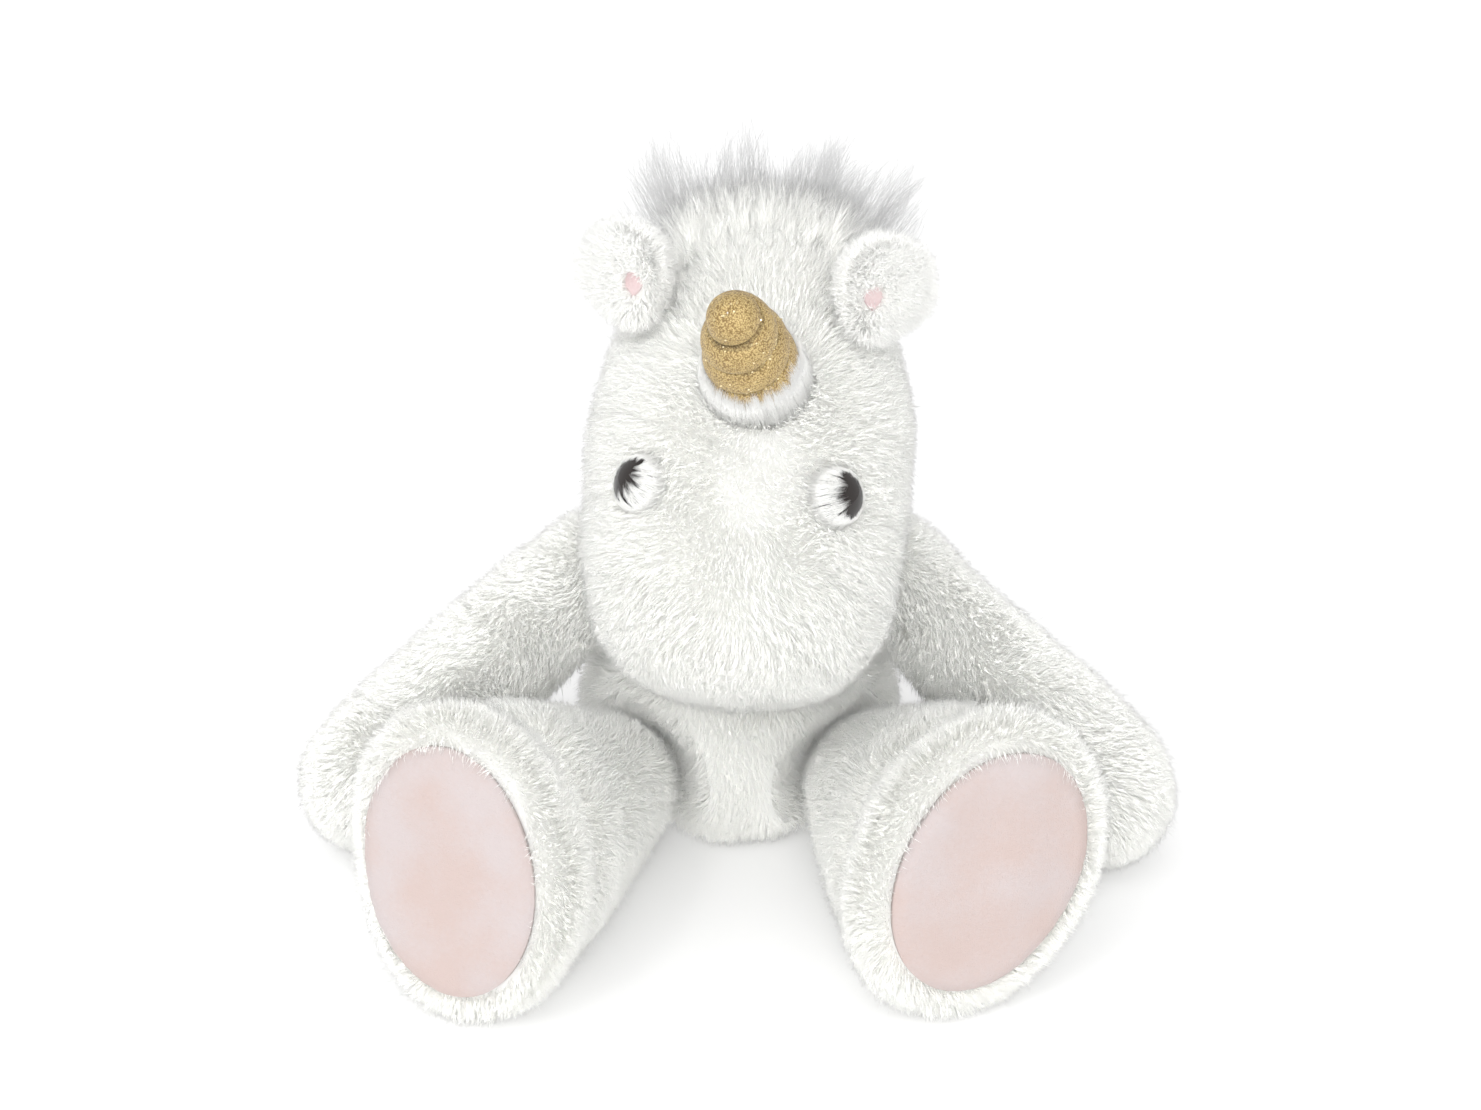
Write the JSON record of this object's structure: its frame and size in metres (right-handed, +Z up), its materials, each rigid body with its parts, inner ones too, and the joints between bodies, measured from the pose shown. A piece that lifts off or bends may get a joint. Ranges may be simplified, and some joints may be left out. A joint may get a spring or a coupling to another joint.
{
  "type": "plush unicorn",
  "caption": "Seated white plush unicorn with a gold horn, black dome eyes, pink soles, and sewn limbs, head and ears that bend at their seams.",
  "frame": {"origin": "centre of the flat seat underside, on the surface it sits on", "axes": "+Z up, the toy faces -Y, its own left side is +X"},
  "size_m": [0.2652, 0.2476, 0.2128],
  "materials": {
    "white_fur": "long-pile faux fur, off-white",
    "long_hair": "long straight hair pile, white",
    "pink_velour": "short-pile velour, pale pink",
    "gold_knit": "metallic gold knit with glitter",
    "gold_thread": "twisted sewing thread",
    "eye_plastic": "glossy black moulded dome",
    "washer_plastic": "natural moulded washer",
    "polyester_fill": "loose polyester filling",
    "pellet_bag": "nonwoven bag of plastic pellets",
    "satin_label": "woven satin tape, blank"
  },
  "bodies": {
    "torso": {"torso_cover": "white_fur", "torso_stuffing": "polyester_fill", "seat_pellet_bag": "pellet_bag", "sewn_label": "satin_label"},
    "neck": {"neck_stuffing": "polyester_fill"},
    "head": {"head_cover": "white_fur", "head_stuffing": "polyester_fill", "mane": "long_hair", "left_eye": "eye_plastic", "right_eye": "eye_plastic", "left_eye_washer": "washer_plastic", "right_eye_washer": "washer_plastic"},
    "horn": {"horn_cover": "gold_knit", "horn_stuffing": "polyester_fill", "horn_thread": "gold_thread"},
    "left_ear": {"left_ear_cover": "white_fur", "left_ear_lining": "pink_velour"},
    "right_ear": {"right_ear_cover": "white_fur", "right_ear_lining": "pink_velour"},
    "left_arm": {"left_arm_cover": "white_fur", "left_arm_stuffing": "polyester_fill"},
    "right_arm": {"right_arm_cover": "white_fur", "right_arm_stuffing": "polyester_fill"},
    "left_leg": {"left_leg_cover": "white_fur", "left_leg_stuffing": "polyester_fill", "left_foot_pellet_bag": "pellet_bag", "left_sole_pad": "pink_velour"},
    "right_leg": {"right_leg_cover": "white_fur", "right_leg_stuffing": "polyester_fill", "right_foot_pellet_bag": "pellet_bag", "right_sole_pad": "pink_velour"},
    "tail": {"tail": "long_hair"}
  },
  "joints": [
    {"name": "neck_twist", "type": "hinge", "parent": "torso", "child": "neck", "pos_m": [0.005, -0.009, 0.106], "axis": [-0.0557, -0.7967, 0.6018], "range_deg": [-20, 20]},
    {"name": "neck_nod", "type": "hinge", "parent": "neck", "child": "head", "pos_m": [0.005, -0.009, 0.106], "axis": [-0.9976, 0.0698, 0], "range_deg": [0, 25]},
    {"name": "left_arm_raise", "type": "hinge", "parent": "torso", "child": "left_arm", "pos_m": [0.044, 0, 0.077], "axis": [-0.5592, -0.829, 0], "range_deg": [0, 80]},
    {"name": "right_arm_raise", "type": "hinge", "parent": "torso", "child": "right_arm", "pos_m": [-0.044, 0, 0.077], "axis": [-0.4695, 0.8829, 0], "range_deg": [0, 80]},
    {"name": "left_leg_swing", "type": "hinge", "parent": "torso", "child": "left_leg", "pos_m": [0.042, -0.04, 0.0235], "axis": [0, 0, -1], "range_deg": [0, 15]},
    {"name": "right_leg_swing", "type": "hinge", "parent": "torso", "child": "right_leg", "pos_m": [-0.042, -0.04, 0.0235], "axis": [0, 0, 1], "range_deg": [0, 15]},
    {"name": "left_ear_flop", "type": "hinge", "parent": "head", "child": "left_ear", "pos_m": [0.03483, -0.05169, 0.18019], "axis": [0.8269, 0.2495, -0.504], "range_deg": [-20, 20], "stiffness_Nm_per_rad": 0.02},
    {"name": "right_ear_flop", "type": "hinge", "parent": "head", "child": "right_ear", "pos_m": [-0.02788, -0.04598, 0.18195], "axis": [0.7949, -0.3972, 0.4586], "range_deg": [-20, 20], "stiffness_Nm_per_rad": 0.02},
    {"name": "horn_bend", "type": "hinge", "parent": "head", "child": "horn", "pos_m": [0.00367, -0.07236, 0.17487], "axis": [-0.9976, 0.0698, 0], "range_deg": [-15, 15], "stiffness_Nm_per_rad": 0.05},
    {"name": "tail_lift", "type": "hinge", "parent": "torso", "child": "tail", "pos_m": [0, 0.049, 0.0225], "axis": [1, 0, 0], "range_deg": [0, 45]}
  ]
}
